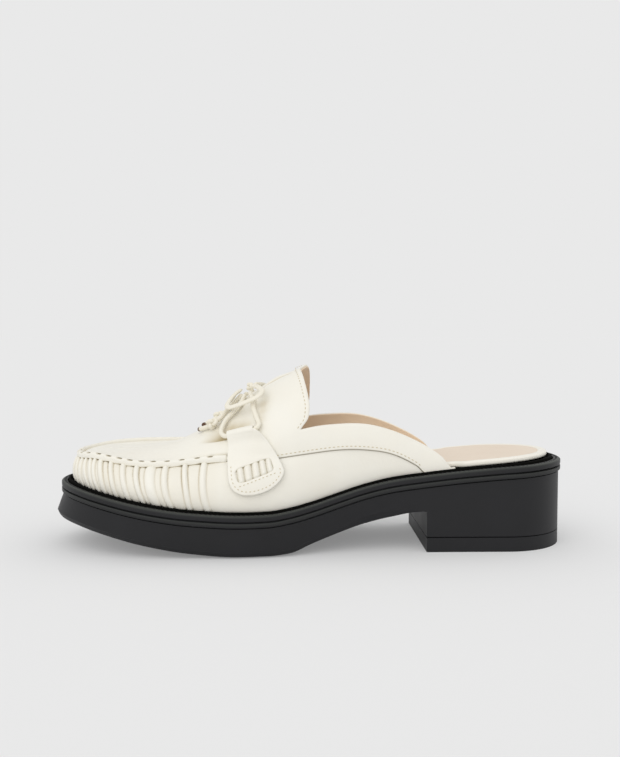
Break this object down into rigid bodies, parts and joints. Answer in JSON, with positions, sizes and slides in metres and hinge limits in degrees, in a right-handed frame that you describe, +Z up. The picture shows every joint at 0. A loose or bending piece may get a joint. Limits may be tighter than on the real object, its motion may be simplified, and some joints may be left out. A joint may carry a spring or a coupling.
{
  "type": "mule shoe",
  "caption": "Left loafer mule with a ribbed platform sole, block heel, open back, puckered apron seam and a tied lace.",
  "frame": {"origin": "on the floor, at the centre of the shoe's length and width", "axes": "+X from toe to heel, -Y to the lateral (outer) side, +Z up"},
  "size_m": [0.267, 0.093, 0.0924],
  "materials": {
    "sole_rubber": "matte moulded black sole rubber",
    "cream_leather": "smooth cream leather, low sheen",
    "lining_leather": "matt beige lining leather"
  },
  "bodies": {
    "root": {"outsole": "sole_rubber", "heel_lift": "sole_rubber", "welt": "sole_rubber", "insole": "cream_leather", "sock": "lining_leather", "upper": "cream_leather", "bow_knot": "cream_leather", "tab_lateral": "cream_leather", "tab_pleats_lateral": "cream_leather", "lace_lateral": "cream_leather", "bow_loop_lateral": "cream_leather", "lace_end_lateral": "cream_leather", "end_knot_lateral": "cream_leather", "lace_tip_lateral": "cream_leather", "tab_medial": "cream_leather", "tab_pleats_medial": "cream_leather", "lace_medial": "cream_leather", "bow_loop_medial": "cream_leather", "lace_end_medial": "cream_leather", "end_knot_medial": "cream_leather", "lace_tip_medial": "cream_leather"}
  },
  "joints": []
}
